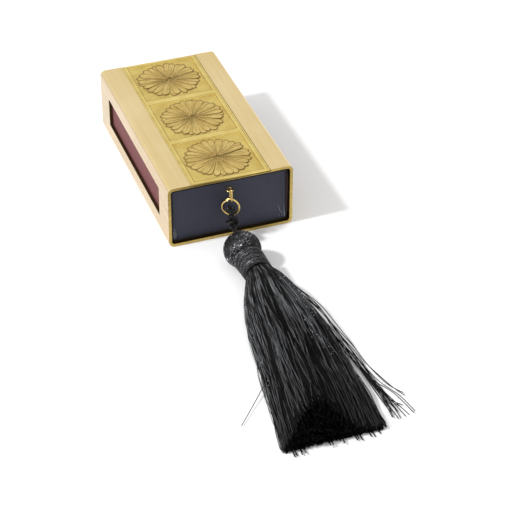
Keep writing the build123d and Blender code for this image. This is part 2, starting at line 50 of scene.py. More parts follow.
camera_data = bpy.data.cameras.new("camera")
camera_data.lens = 124.25
camera_data.sensor_width = 36
camera = new_object("camera", camera_data)
camera.matrix_world = Matrix((
    (0.9402822, 0.2017327, -0.2741775, -0.236599),
    (-0.3403883, 0.5626194, -0.7533891, -0.747309),
    (0.0022744, 0.8017252, 0.5976885, 0.527955),
    (0, 0, 0, 1),
))
bpy.context.scene.camera = camera


# Tassel cord. A limp black cord of three plies, folded in half through the bottom of the
# jump ring; both ends go down into the tassel's head. It is modelled in millimetres, as
# every piece below is, and brought to metres when it is hung on its body.
def keep_piece(name, mesh, body, slot_name, *nodes, finish=None, smooth=True, crease=40):
    """Bring a mesh from millimetres to metres and hang it on its body."""
    mesh.transform(Matrix.Scale(0.001, 4))
    mesh.name = name
    if finish:
        mesh.materials.append(finish)
    piece = new_object(name, mesh)
    if smooth:
        mesh.shade_smooth()
        mesh.set_sharp_from_angle(angle=math.radians(crease))
    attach(piece, body)
    if nodes:
        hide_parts(*nodes)
    return piece


def mesh_of(piece):
    """Give a piece's finished mesh, with its modifiers or curve worked in, and drop the piece."""
    shapes = bpy.context.evaluated_depsgraph_get()
    mesh = bpy.data.meshes.new_from_object(piece.evaluated_get(shapes), depsgraph=shapes)
    bpy.data.objects.remove(piece)
    return mesh


def draw_lines(name, lines, radius=0.0, sides=6, kind="POLY", closed=False, widths=None):
    """Draw threads or wires along lists of points and give them as one mesh."""
    curve = bpy.data.curves.new(name, "CURVE")
    curve.dimensions = "3D"
    curve.resolution_u = 6
    profile = None
    if radius:
        ring = bpy.data.curves.new(name + "_profile", "CURVE")
        ring.dimensions = "2D"
        outline = ring.splines.new("POLY")
        outline.points.add(sides - 1)
        for index, point in enumerate(outline.points):
            angle = 2 * math.pi * index / sides
            point.co = (radius * math.cos(angle), radius * math.sin(angle), 0, 1)
        outline.use_cyclic_u = True
        profile = new_object(name + "_profile", ring)
        curve.bevel_mode = "OBJECT"
        curve.bevel_object = profile
        curve.use_fill_caps = not closed
    for index, line in enumerate(lines):
        spline = curve.splines.new(kind)
        spline.points.add(len(line) - 1)
        spline.points.foreach_set("co", [value for point in line for value in (*point, 1)])
        if widths:
            spline.points.foreach_set("radius", widths[index])
        spline.use_cyclic_u = closed
        if kind == "NURBS":
            spline.order_u = 3 if not closed else 4
            spline.use_endpoint_u = not closed
    mesh = mesh_of(new_object(name, curve))
    if profile:
        bpy.data.objects.remove(profile)
    return mesh


def along_spline(route):
    """Read the points of a route's own smooth spline."""
    mesh = draw_lines("route", [route], kind="NURBS")
    return [vert.co.copy() for vert in mesh.vertices]


def wind_plies(path, plies, offset, lay_length):
    """Wind plies round a path, one full turn for each lay length."""
    wound = [[] for _ in range(plies)]
    side = Vector((0, 0, 1))
    run = 0.0
    for index, point in enumerate(path):
        ahead = path[min(index + 1, len(path) - 1)] - path[max(index - 1, 0)]
        ahead.normalize()
        side = (side - ahead * side.dot(ahead)).normalized()
        across = ahead.cross(side)
        if index:
            run += (point - path[index - 1]).length
        for ply in range(plies):
            angle = 2 * math.pi * (run / lay_length + ply / plies)
            around = side * math.cos(angle) + across * math.sin(angle)
            wound[ply].append(point + around * offset)
    return wound


cord_route = [
    (-2.35, -83.6, 9.6),
    (-2.35, -77.0, 9.6),
    (-3.08, -69.82, 12.18),
    (-2.29, -65.0, 13.95),
    (-1.6, -64.65, 17.47),
    (-0.24, -61.38, 17.47),
    (-0.24, -61.38, 12.82),
    (-1.26, -63.83, 12.82),
    (-0.41, -65.31, 13.95),
    (-1.21, -70.13, 12.18),
    (-4.25, -77.0, 9.6),
    (-4.25, -83.6, 9.6),
]
cord_line = along_spline(cord_route)
ply_radius = 0.48
cord_mesh = draw_lines("tassel_cord", wind_plies(cord_line, 3, 0.44, 3.4), ply_radius, 8)
cord_piece = keep_piece("tassel_cord_plied", cord_mesh, "tassel", "cord_black", "tassel_cord")


# Satin brass. The maker's finish for all the sheet work: drawn brass, rubbed along its
# length and lacquered, going from pale to deeper gold in soft clouds. Its darker copies are
# painted shade: one for the sides, a dark olive one for the open ends, and a near-black one
# for the inside, the channel and the window reveals.
def new_finish(name, metallic=0.0, roughness=0.5, color=(0.5, 0.5, 0.5), gloss=0.5):
    """Start a material and give it with its node tree and shader."""
    finish = bpy.data.materials.new(name)
    finish.use_nodes = True
    shader = finish.node_tree.nodes["Principled BSDF"]
    shader.inputs["Metallic"].default_value = metallic
    shader.inputs["Roughness"].default_value = roughness
    shader.inputs["Base Color"].default_value = (*color, 1)
    shader.inputs["Specular IOR Level"].default_value = gloss
    return finish, finish.node_tree, shader


def add(tree, kind, inputs=None, **settings):
    """Add a shader node, set it up and link or set its inputs."""
    made = tree.nodes.new("ShaderNode" + kind)
    for key, value in settings.items():
        setattr(made, key, value)
    for key, value in (inputs or {}).items():
        if isinstance(value, bpy.types.NodeSocket):
            tree.links.new(value, made.inputs[key])
        else:
            made.inputs[key].default_value = value
    return made


def object_place(tree, scale=(1, 1, 1), turn=(0, 0, 0)):
    """Give the object's own coordinates, scaled and turned."""
    place = add(tree, "TexCoord").outputs["Object"]
    return add(tree, "Mapping", {"Vector": place, "Scale": scale, "Rotation": turn}).outputs[0]


def grain(tree, scale, stretch=(1, 1, 1), detail=4.0):
    """Give a noise value between 0 and 1, in the object's own coordinates."""
    place = object_place(tree, stretch)
    settings = {"Vector": place, "Scale": scale, "Detail": detail, "Roughness": 0.55}
    return add(tree, "TexNoise", settings).outputs[0]


def ramp(tree, value, low, high, start=0.0, end=1.0):
    """Bring a value's range from low to high onto start to end."""
    return add(tree, "MapRange", {
        "Value": value, "From Min": low, "From Max": high, "To Min": start, "To Max": end,
    }).outputs[0]


def mix_colors(tree, share, first, second):
    """Blend two colours by a share."""
    made = add(tree, "Mix", data_type="RGBA")
    for index, value in ((0, share), (6, first), (7, second)):
        if isinstance(value, bpy.types.NodeSocket):
            tree.links.new(value, made.inputs[index])
        elif index:
            made.inputs[index].default_value = (*value, 1)
        else:
            made.inputs[index].default_value = value
    return made.outputs[2]


def work(tree, operation, first, second=0.0):
    """Work out one value from two."""
    return add(tree, "Math", {0: first, 1: second}, operation=operation).outputs[0]


def set_color(tree, shader, share, first, second):
    """Give the surface a blend of two colours."""
    tree.links.new(mix_colors(tree, share, first, second), shader.inputs["Base Color"])


def set_relief(tree, shader, height, distance):
    """Give the surface a fine relief, in metres."""
    bump = add(tree, "Bump", {"Height": height, "Distance": distance})
    tree.links.new(bump.outputs[0], shader.inputs["Normal"])


def satin_brass(name, pale, deep, roughness):
    """Make a rubbed brass that goes from a pale to a deeper gold in soft clouds."""
    finish, tree, shader = new_finish(name, 1.0, roughness)
    rubbing = grain(tree, 900, (1.0, 0.025, 1.0), 5)
    cloud = grain(tree, 28, detail=3)
    speck = grain(tree, 2600, detail=2)
    clouded = ramp(tree, cloud, 0.3, 0.7, 0, 0.6)
    share = work(tree, "ADD", clouded, ramp(tree, rubbing, 0.35, 0.65, -0.1, 0.3))
    set_color(tree, shader, share, pale, deep)
    rough = work(tree, "ADD", ramp(tree, rubbing, 0.3, 0.7, -0.06, 0.07), roughness)
    tree.links.new(rough, shader.inputs["Roughness"])
    height = work(tree, "ADD", rubbing, work(tree, "MULTIPLY", speck, 0.25))
    set_relief(tree, shader, height, 0.000012)
    return finish


brass_finish = satin_brass("satin_brass", (0.93, 0.75, 0.41), (0.84, 0.63, 0.28), 0.34)
# Painted shade: a darker, pinker copy of the brass for the sides, which face the key light.
side_shade_finish = satin_brass("side_brass_painted_shade", (0.66, 0.53, 0.355), (0.59, 0.45, 0.27), 0.3)
# Painted shade: a dark olive copy of the brass for the open ends of the sleeve.
rim_shade_finish = satin_brass("rim_brass_painted_shade", (0.57, 0.42, 0.135), (0.26, 0.18, 0.047), 0.36)
# Painted shade: a near-black brass for the inside of the sleeve, the channel walls and the window
# reveals.
bore_shade_finish = new_finish("bore_brass_painted_shade", 0.9, 0.5, (0.075, 0.045, 0.014))[0]


# Brass sleeve. One sheet bent into a rectangular tube, open at both ends, with a pierced
# window in each long side. Its top is milled with a shallow channel for the flower panel.
def mesh_from(bm, name, *finishes):
    """Turn a bmesh into a mesh with these finishes, and let the bmesh go."""
    mesh = bpy.data.meshes.new(name)
    bm.to_mesh(mesh)
    bm.free()
    for finish in finishes:
        mesh.materials.append(finish)
    return mesh


def add_box(bm, size, middle):
    """Add a box of a given size round its middle and give its corners."""
    box = bmesh.ops.create_cube(bm, size=1)["verts"]
    bmesh.ops.scale(bm, vec=size, verts=box)
    bmesh.ops.translate(bm, vec=middle, verts=box)
    return box


def ease_edges(bm, edges, offset, segments):
    """Round a box's edges and give what the rounding made."""
    return bmesh.ops.bevel(
        bm, geom=edges, offset=offset, segments=segments, profile=0.5, affect="EDGES", material=-1
    )


sleeve_half_length = 60.5
window_middle = 18.0
window_half_length = 45.0
window_half_height = 8.2
sleeve_outline = (
    (-33.0, 0.0), (33.0, 0.0), (33.0, 35.0), (21.0, 35.0),
    (21.0, 34.0), (-21.0, 34.0), (-21.0, 35.0), (-33.0, 35.0),
)
sleeve_bore = (
    (-31.5, 1.5), (31.5, 1.5), (31.5, 33.5), (21.4, 33.5),
    (20.6, 33.5), (-20.6, 33.5), (-21.4, 33.5), (-31.5, 33.5),
)
bm = bmesh.new()
rim = [bm.verts.new((x, -sleeve_half_length, z)) for x, z in sleeve_outline]
lip = [bm.verts.new((x, -sleeve_half_length, z)) for x, z in sleeve_bore]
rim_faces = [
    bm.faces.new((rim[side], rim[side - 1], lip[side - 1], lip[side])) for side in range(len(rim))
]
drawn = bmesh.ops.extrude_face_region(bm, geom=rim_faces, use_keep_orig=True)
far_verts = [item for item in drawn["geom"] if isinstance(item, bmesh.types.BMVert)]
bmesh.ops.translate(bm, vec=(0, 2 * sleeve_half_length, 0), verts=far_verts)
bmesh.ops.recalc_face_normals(bm, faces=bm.faces)
for half_width, low, high, offset in ((33.0, 0.0, 35.0, 3.0), (31.5, 1.5, 33.5, 1.5)):
    folds = [
        edge for edge in bm.edges
        if all(
            abs(abs(vert.co.x) - half_width) < 0.01
            and min(abs(vert.co.z - low), abs(vert.co.z - high)) < 0.01
            for vert in edge.verts
        )
        and abs(edge.verts[0].co.y - edge.verts[1].co.y) > 1
    ]
    ease_edges(bm, folds, offset, 7)
sleeve_mesh = mesh_from(bm, "sleeve")

bm = bmesh.new()
add_box(bm, (80, 2 * window_half_length, 2 * window_half_height), (0, 0, window_middle))
window_edges = [edge for edge in bm.edges if abs(edge.verts[0].co.x - edge.verts[1].co.x) > 1]
ease_edges(bm, window_edges, 0.6, 4)
cutter = new_object("window_cutter", mesh_from(bm, "window_cutter"))
sleeve_blank = new_object("sleeve_blank", sleeve_mesh)
pierce = sleeve_blank.modifiers.new("pierce", "BOOLEAN")
pierce.operation = "DIFFERENCE"
pierce.solver = "EXACT"
pierce.object = cutter
ease = sleeve_blank.modifiers.new("ease", "BEVEL")
ease.width = 0.28
ease.segments = 3
ease.limit_method = "ANGLE"
ease.angle_limit = math.radians(50)
sleeve_mesh = mesh_of(sleeve_blank)
bpy.data.objects.remove(cutter)
sleeve_mesh.materials.clear()
for finish in (brass_finish, rim_shade_finish, bore_shade_finish, side_shade_finish):
    sleeve_mesh.materials.append(finish)
# Painted shade by face: the open ends take the olive copy; the inside, the channel walls and the
# window reveals take the near-black one; the sides take the darker side copy.
for face in sleeve_mesh.polygons:
    middle = face.center
    in_bore = (
        abs(middle.x) < 32.4
        and 0.6 < middle.z < 34.0
        and abs(face.normal.y) < 0.5
        and (abs(middle.x) < 31.9 or abs(middle.z - 17.5) > 8.3)
    )
    in_channel = abs(middle.x) < 21.1 and 33.9 < middle.z < 34.95
    in_window = (
        abs(middle.x) > 31.4
        and abs(middle.y) < window_half_length + 0.1
        and abs(middle.z - window_middle) < window_half_height + 0.1
        and abs(face.normal.x) < 0.3
    )
    if abs(middle.y) > sleeve_half_length - 0.4:
        face.material_index = 1
    elif in_bore or in_channel or in_window:
        face.material_index = 2
    elif abs(face.normal.x) > 0.75:
        face.material_index = 3
keep_piece("brass_sleeve_sheet", sleeve_mesh, "sleeve", "brass", "brass_sleeve", crease=30)


# Flower panel. A strip of yellower brass let into the channel, pressed and engraved: three
# sunk square fields in bead frames, their lines and hollows darkened with patina.
deep_patina = (0.17, 0.10, 0.022)
# Dark patina for the scribed and frame lines; the same finish is also painted shade in the gaps
# along the panel's sides.
patina_and_shade_line = new_finish("patina_and_groove_shade", 0.5, 0.6, (0.10, 0.06, 0.016))[0]


def embossed_brass(name, bright, deep, cut_depth):
    """Make the panel's brass, cut by fine hand-drawn lines along each petal."""
    finish, tree, shader = new_finish(name, 1.0, 0.4)
    hatch = add(tree, "TexWave", {
        "Vector": object_place(tree, turn=(0, 0, math.radians(38))),
        "Scale": 620.0, "Distortion": 1.6, "Detail": 2.0, "Detail Scale": 1.5,
    }).outputs[1]
    worn = grain(tree, 140, detail=5)
    stroke = add(tree, "Attribute", attribute_name="stroke").outputs["Vector"]
    lines = add(tree, "TexNoise", {
        "Vector": add(tree, "Mapping", {"Vector": stroke, "Scale": (5.2, 1.1, 1.0)}).outputs[0],
        "Scale": 1.7, "Detail": 3.0, "Roughness": 0.7,
    }).outputs[0]
    reach = add(tree, "SeparateXYZ", {0: stroke}).outputs["Z"]
    cut_depth_here = work(tree, "MULTIPLY", reach, cut_depth)
    cut_share = work(tree, "MULTIPLY", ramp(tree, lines, 0.50, 0.66), cut_depth_here)
    base = mix_colors(tree, ramp(tree, worn, 0.35, 0.68), bright, deep)
    hatched = mix_colors(tree, ramp(tree, hatch, 0.62, 0.95, 0, 0.22), base, (0.34, 0.22, 0.05))
    set_color(tree, shader, cut_share, hatched, deep_patina)
    tree.links.new(ramp(tree, cut_share, 0, 1, 0.38, 0.6), shader.inputs["Roughness"])
    height = work(tree, "SUBTRACT", work(tree, "MULTIPLY", hatch, -0.2), cut_share)
    set_relief(tree, shader, height, 0.00005)
    return finish


# Dark chased finish: patina in the chased edges and veins, and painted shade on the petal walls and
# seeds.
chased_and_shade_finish = new_finish("chased_line_and_wall_shade", 0.5, 0.6, (0.21, 0.13, 0.035))[0]
petal_finish = embossed_brass("petal_brass", (0.89, 0.67, 0.24), (0.70, 0.50, 0.145), 0.5)
panel_finish = embossed_brass("embossed_brass", (0.94, 0.75, 0.26), (0.82, 0.62, 0.18), 0.0)
ground_finish = embossed_brass("sunk_brass", (0.86, 0.67, 0.21), (0.70, 0.52, 0.14), 0.0)
field_centres = (-40.2, 0.0, 40.2)
field_half_x = 18.4
field_half_y = 18.3
scribe_near = 19.9
scribe_far = 20.02
panel_shift = -0.08
bm = bmesh.new()
add_box(bm, (41.6, 120.2, 1.0), (0, 0, 34.5))
cuts = [
    ((x, 0, 0), (1, 0, 0))
    for x in (-scribe_far, -scribe_near, -field_half_x, field_half_x, scribe_near, scribe_far)
]
for centre in field_centres:
    cuts += [((0, centre + side * field_half_y, 0), (0, 1, 0)) for side in (-1, 1)]
for place, normal in cuts:
    shape = [*bm.verts, *bm.edges, *bm.faces]
    bmesh.ops.bisect_plane(bm, geom=shape, plane_co=place, plane_no=normal)
fields = []
scribed = []
for face in bm.faces:
    middle = face.calc_center_median()
    if face.normal.z < 0.9:
        continue
    if abs(middle.x) < 1 and any(abs(middle.y - centre) < 1 for centre in field_centres):
        fields.append(face)
    elif scribe_near < abs(middle.x) < scribe_far:
        face.material_index = 1
        scribed.append(face)
bmesh.ops.inset_region(bm, faces=scribed, thickness=0.02, depth=-0.08)
frame_steps = (  # thickness, depth, finish
    (0.12, -0.08, 0), (0.11, -0.08, 1), (0.11, 0.08, 1), (0.20, 0.0, 0), (0.20, -0.42, 0),
)
for thickness, depth, slot_index in frame_steps:
    ring_faces = bmesh.ops.inset_individual(
        bm, faces=fields, thickness=thickness, depth=depth, use_even_offset=True
    )["faces"]
    for face in ring_faces:
        face.material_index = slot_index
for face in fields:
    face.material_index = 2
plate_mesh = mesh_from(bm, "plate", panel_finish, patina_and_shade_line, ground_finish)
plate_mesh.transform(Matrix.Translation((panel_shift, 0, 0)))
keep_piece("flower_panel_plate", plate_mesh, "sleeve", "embossed_brass", "flower_panel", crease=25)


# Rosettes. Each is raised from its field as a daisy of long petals, every second one in
# front of its neighbours. Their edges and veins are chased deep and hold dark patina. The same
# dark finish on the petal walls and the seeds is painted shade, which keeps them from catching
# the key light.
def raise_petal(bm, stroke, centre, direction, reach, half_turn, floor, crest, marks):
    """Raise one petal and give the line round its edge and the lines of its veins."""
    cells = 12
    rim_across = 0.97
    sheet = bmesh.ops.create_grid(bm, x_segments=cells, y_segments=cells, size=0.5)["verts"]
    skew = marks.uniform(-0.12, 0.12)
    offset = marks.uniform(0, 40)
    inner = 1.1

    def petal_point(across, along, lift):
        """Give a place on the petal from its own two coordinates."""
        tip = reach * (1 - 0.135 * abs(across + 0.25 * skew) ** 2.3 + 0.012 * math.cos(9 * across))
        radius = inner + (tip - inner) * along
        spread = 0.75 + 0.25 * math.sin(math.pi * min(1.0, along * 0.72))
        angle = direction + (across * spread + skew * along ** 2) * half_turn
        hollow = 0.10 * math.exp(-((across / 0.22) ** 2)) * along
        dome = 0.74 + 0.26 * math.sqrt(max(0.0, 1 - across ** 4)) - hollow
        height = crest * dome * (0.9 + 0.1 * along)
        return (
            centre[0] + radius * math.cos(angle),
            centre[1] + radius * math.sin(angle),
            floor + height * lift,
        )

    for vert in sheet:
        column = round((vert.co.x + 0.5) * cells)
        row = round((vert.co.y + 0.5) * cells)
        across = (2 * column / cells - 1) / (1 - 2 / cells) * rim_across
        across = max(-rim_across, min(rim_across, across))
        along = max(0.0, min(rim_across, (row / cells) / (1 - 1 / cells) * rim_across))
        on_wall = column in (0, cells) or row == cells
        if column in (0, cells):
            across = math.copysign(1, across)
        if row == cells:
            along = 1.0
        vert[stroke] = (offset + across, along * 2, 0.35 + 0.65 * (1 - along))
        vert.co = petal_point(across, along, 0 if on_wall else 1)
    sheet_faces = list({face for vert in sheet for face in vert.link_faces})
    bmesh.ops.reverse_faces(bm, faces=sheet_faces)
    sheet_edges = {edge for vert in sheet for edge in vert.link_edges}
    bmesh.ops.edgeloop_fill(bm, edges=[edge for edge in sheet_edges if edge.is_boundary])
    edge_steps = [(-0.96, 0.2 + 0.75 * step / 6) for step in range(7)]
    edge_steps += [(-0.96 + 1.92 * step / 10, 0.965) for step in range(1, 10)]
    edge_steps += [(0.96, 0.95 - 0.75 * step / 6) for step in range(7)]
    edge = [petal_point(across, along, 1.0) for across, along in edge_steps]
    widths = [0.5 + 0.8 * along ** 3 * marks.uniform(0.5, 1.3) for across, along in edge_steps]
    veins = []
    for _ in range(marks.choice((3, 4, 4))):
        across = marks.uniform(-0.72, 0.72)
        start = marks.uniform(0.03, 0.2)
        stop = marks.uniform(0.4, 0.93)
        veins.append([
            petal_point(across * (0.8 + 0.2 * step / 6), start + (stop - start) * step / 6, 1.0)
            for step in range(7)
        ])
    return edge, widths, veins


petal_marks = random.Random(7)
bm = bmesh.new()
stroke_layer = bm.verts.layers.float_vector.new("stroke")
field_floor = 34.5
petal_pairs = 14
seed_count = 34
petal_edges = []
petal_widths = []
petal_veins = []
for field_y in field_centres:
    turn = petal_marks.uniform(0, 0.3)
    for layer_crest, layer_reach, layer_turn in ((0.28, 17.9, 0.0), (0.42, 17.6, 0.5)):
        for petal in range(petal_pairs):
            direction = turn + 2 * math.pi * (petal + layer_turn) / petal_pairs
            direction += petal_marks.uniform(-0.06, 0.06)
            edge, widths, veins = raise_petal(
                bm, stroke_layer, (panel_shift, field_y), direction,
                layer_reach * petal_marks.uniform(0.92, 1.0),
                math.pi / petal_pairs * petal_marks.uniform(0.54, 0.76),
                field_floor - 0.02,
                layer_crest + petal_marks.uniform(-0.02, 0.02),
                petal_marks,
            )
            petal_edges.append(edge)
            petal_widths.append(widths)
            petal_veins += veins
    for seed in range(seed_count):
        seed_reach = 2.35 * math.sqrt((seed + 0.5) / seed_count)
        seed_angle = seed * 2.4
        seed_radius = petal_marks.uniform(0.24, 0.34)
        bead = bmesh.ops.create_icosphere(bm, subdivisions=1, radius=seed_radius)["verts"]
        for vert in bead:
            vert[stroke_layer] = (seed, 0.5, 1.0)
        bmesh.ops.scale(bm, vec=(0.8, 0.8, 0.5), verts=bead)
        seed_place = (
            seed_reach * math.cos(seed_angle) + panel_shift,
            field_y + seed_reach * math.sin(seed_angle),
            field_floor + 0.33,
        )
        bmesh.ops.translate(bm, vec=seed_place, verts=bead)
rosette_mesh = mesh_from(bm, "rosettes", petal_finish, chased_and_shade_finish)
# Painted shade: the petal walls and the seeds take the dark chased finish, so that they show no
# light from the key.
for face in rosette_mesh.polygons:
    if face.normal.z < 0.9 or len(face.vertices) == 3:
        face.material_index = 1
keep_piece("flower_rosettes", rosette_mesh, "sleeve", "embossed_brass", crease=50)
for name, lines, radius, widths in (
    ("rosette_edges", petal_edges, 0.1, petal_widths),
    ("rosette_veins", petal_veins, 0.05, None),
):
    chased_mesh = draw_lines(name, lines, radius, 5, widths=widths)
    keep_piece(name, chased_mesh, "sleeve", "embossed_brass", finish=chased_and_shade_finish)

mitre_lines = []
for field_y in field_centres:
    for side_x in (-1, 1):
        for side_y in (-1, 1):
            mitre = []
            for inset in (0.1, 0.5):
                x = side_x * (field_half_x - inset) + panel_shift
                mitre.append((x, field_y + side_y * (field_half_y - inset), 34.9))
            mitre_lines.append(mitre)
# Painted shade, with some dirt: dark lines in the gaps between the panel and the channel, the right
# one wider, on the side away from the key light.
mitre_lines += [[(x, -60.0, z), (x, 60.0, z)] for x, z in ((20.86, 34.78), (-20.94, 34.9))]
mitre_widths = [[1.3, 1.3]] * 12 + [[2.9, 2.9], [2.1, 2.1]]
mitre_mesh = draw_lines("mitres", mitre_lines, 0.06, 4, widths=mitre_widths)
keep_piece("frame_mitres_and_groove_shade", mitre_mesh, "sleeve", "embossed_brass", finish=patina_and_shade_line)


# Carton. Thin card, coloured near black as painted shade for the dark gap round the tray,
# with a strip of red-brown striking composition along each long side. The strips are scuffed
# where matches have been struck.
def raw_card(name, first, second):
    """Make a fibrous card or board."""
    finish, tree, shader = new_finish(name, 0.0, 0.85)
    fibre = grain(tree, 700, (1, 0.3, 1), 6)
    cloud = grain(tree, 60, detail=3)
    share = ramp(tree, work(tree, "ADD", fibre, cloud), 0.75, 1.25)
    set_color(tree, shader, share, first, second)
    set_relief(tree, shader, fibre, 0.00005)
    return finish


def dress(node, finish):
    """Give a CAD node a finer material."""
    for material_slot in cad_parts[node].material_slots:
        material_slot.material = finish


# Painted shade: the card is near black, so that its edges read as the dark gap between the tray and
# the sleeve.
dress("carton", raw_card("card", (0.030, 0.026, 0.022), (0.018, 0.016, 0.014)))

striker_finish, tree, shader = new_finish("striking_strip", 0.0, 0.75)
grit = grain(tree, 3200, detail=3)
scuff = grain(tree, 90, (1, 0.18, 1.6), 5)
gritty = ramp(tree, grit, 0.35, 0.65)
strip_color = mix_colors(tree, gritty, (0.105, 0.024, 0.026), (0.17, 0.045, 0.048))
set_color(tree, shader, ramp(tree, scuff, 0.56, 0.75, 0, 0.35), strip_color, (0.24, 0.13, 0.125))
set_relief(tree, shader, grit, 0.0001)
dress("striker_left", striker_finish)
dress("striker_right", striker_finish)


# Tray. A greyboard drawer in ribbed navy bookcloth, glued round its walls and turned over
# the rim. The cloth's folds are pale at the lower corners of the front, partly rubbed wear and
# partly a painted glint, and its raised ribs are tinted lighter than the grooves as painted
# light and shade.
dress("tray_board", raw_card("greyboard", (0.30, 0.285, 0.26), (0.22, 0.21, 0.19)))

cloth_finish, tree, shader = new_finish("ribbed_bookcloth", 0.0, 0.5, gloss=0.25)
weave = grain(tree, 2400, (1, 1, 0.35), 3)
fade = grain(tree, 45, detail=3)
navy = mix_colors(tree, ramp(tree, fade, 0.3, 0.7), (0.017, 0.018, 0.032), (0.028, 0.030, 0.049))
rib_crest_light = add(tree, "Attribute", attribute_name="rib_crest_light").outputs["Fac"]
rub_and_glint = add(tree, "Attribute", attribute_name="rub_and_glint").outputs["Fac"]
# Painted light and shade: the raised ribs are tinted lighter than the sunk grooves between them.
navy = mix_colors(tree, ramp(tree, rib_crest_light, 0, 1, 0, 0.55), navy, (0.062, 0.064, 0.095))
# Pale at the lower front corners: partly rubbed wear, partly a painted glint on the folds.
worn = work(tree, "MULTIPLY", rub_and_glint, ramp(tree, weave, 0.42, 0.6))
set_color(tree, shader, worn, navy, (0.55, 0.56, 0.58))
shader.inputs["Sheen Weight"].default_value = 0.04
set_relief(tree, shader, weave, 0.00006)

wrap_half_x = 29.9
wrap_half_y = 58.0
wrap_low = 2.3
wrap_high = 31.1
rib_pitch = 0.8
rib_depth = 0.1
bm = bmesh.new()
crest_light_layer = bm.verts.layers.float.new("rib_crest_light")
rub_and_glint_layer = bm.verts.layers.float.new("rub_and_glint")
corners = [
    bm.verts.new((side_x * wrap_half_x, side_y * wrap_half_y, wrap_low))
    for side_x, side_y in ((-1, -1), (1, -1), (1, 1), (-1, 1))
]
outline = [
    bm.edges.new((corner, corners[(index + 1) % 4])) for index, corner in enumerate(corners)
]
for pair in (outline[0::2], outline[1::2]):
    cuts = 2 * round(pair[0].calc_length() / rib_pitch) - 1
    bmesh.ops.subdivide_edges(bm, edges=pair, cuts=cuts)
# Mark the raised ribs for their lighter painted tint; the sunk grooves stay dark.
for vert in bm.verts:
    on_front = abs(abs(vert.co.y) - wrap_half_y) < 0.01
    at = vert.co.x + wrap_half_x if on_front else vert.co.y + wrap_half_y
    run = 2 * wrap_half_x if on_front else 2 * wrap_half_y
    halves = round(at / (run / (2 * round(run / rib_pitch))))
    corner_vert = abs(abs(vert.co.x) - wrap_half_x) < 0.01 and on_front
    vert[crest_light_layer] = 0.0 if halves % 2 else 1.0
    if halves % 2 and not corner_vert:
        axis = 1 if on_front else 0
        vert.co[axis] -= math.copysign(rib_depth, vert.co[axis])


def grow_cloth(loop):
    """Grow the cloth by one row from its free edge and give the row's points and edge."""
    grown = bmesh.ops.extrude_edge_only(bm, edges=loop)["geom"]
    return (
        [item for item in grown if isinstance(item, bmesh.types.BMVert)],
        [item for item in grown if isinstance(item, bmesh.types.BMEdge)],
    )


cloth_loop = bm.edges[:]
levels = [wrap_low, 2.9, 4.2, 7.0, 11.0, 18.0, 27.0, 30.6, wrap_high]
for low, high in zip(levels, levels[1:]):
    grown_verts, cloth_loop = grow_cloth(cloth_loop)
    bmesh.ops.translate(bm, vec=(0, 0, high - low), verts=grown_verts)
# Mark the lower front corners to be paled: partly rubbed wear, partly a painted glint.
for vert in bm.verts:
    on_front = vert.co.y < -wrap_half_y + 0.2
    near_fold = max(0.0, 1 - (wrap_half_x - abs(vert.co.x)) / 1.1) if on_front else 0.0
    near_foot = max(0.0, 1 - (vert.co.z - wrap_low) / 9) if vert.co.z > 2.5 else 0.0
    vert[rub_and_glint_layer] = near_fold * near_foot
for inset_by, rise in ((0.55, 0.0), (1.7, 0.0), (1.75, -4.0)):
    grown_verts, cloth_loop = grow_cloth(cloth_loop)
    for vert in grown_verts:
        vert.co.x *= (wrap_half_x - inset_by) / max(abs(vert.co.x), wrap_half_x - inset_by)
        vert.co.y *= (wrap_half_y - inset_by) / max(abs(vert.co.y), wrap_half_y - inset_by)
        vert.co.z = wrap_high + rise
bmesh.ops.recalc_face_normals(bm, faces=bm.faces)
if sum(face.normal.xy.dot(face.calc_center_median().xy) for face in bm.faces) < 0:
    bmesh.ops.reverse_faces(bm, faces=bm.faces)
wrap_blank = new_object("wrap_blank", mesh_from(bm, "wrap"))
cloth = wrap_blank.modifiers.new("cloth", "SOLIDIFY")
cloth.thickness = 0.15
cloth.offset = -1
wrap_mesh = mesh_of(wrap_blank)
wrap_mesh.materials.clear()
keep_piece(
    "tray_wrap_cloth", wrap_mesh, "tray", "bookcloth", "tray_wrap", finish=cloth_finish, crease=55
)
crease_marks = (
    # places across and up on the front, for each crease
    ((26.2, 10.4), (26.8, 8.2), (27.0, 6.8)),
    ((27.4, 7.4), (28.1, 5.2), (28.3, 3.5)),
    ((26.4, 5.2), (27.0, 3.8)),
    ((-29.3, 9.0), (-29.1, 5.4), (-28.7, 3.2)),
    ((-28.9, 6.4), (-28.3, 4.4)),
)
crease_lines = [[(x, -wrap_half_y - 0.16, z) for x, z in marks] for marks in crease_marks]
# Pale crease lines at the lower front corners: rubbed wear and a painted glint on the folds.
crease_wear_and_glint_finish = new_finish("rubbed_fold_and_glint", 0.0, 0.6, (0.30, 0.31, 0.34))[0]
crease_mesh = draw_lines("creases", crease_lines, 0.1, 4)
keep_piece("tray_wrap_creases", crease_mesh, "tray", "bookcloth", finish=crease_wear_and_glint_finish)


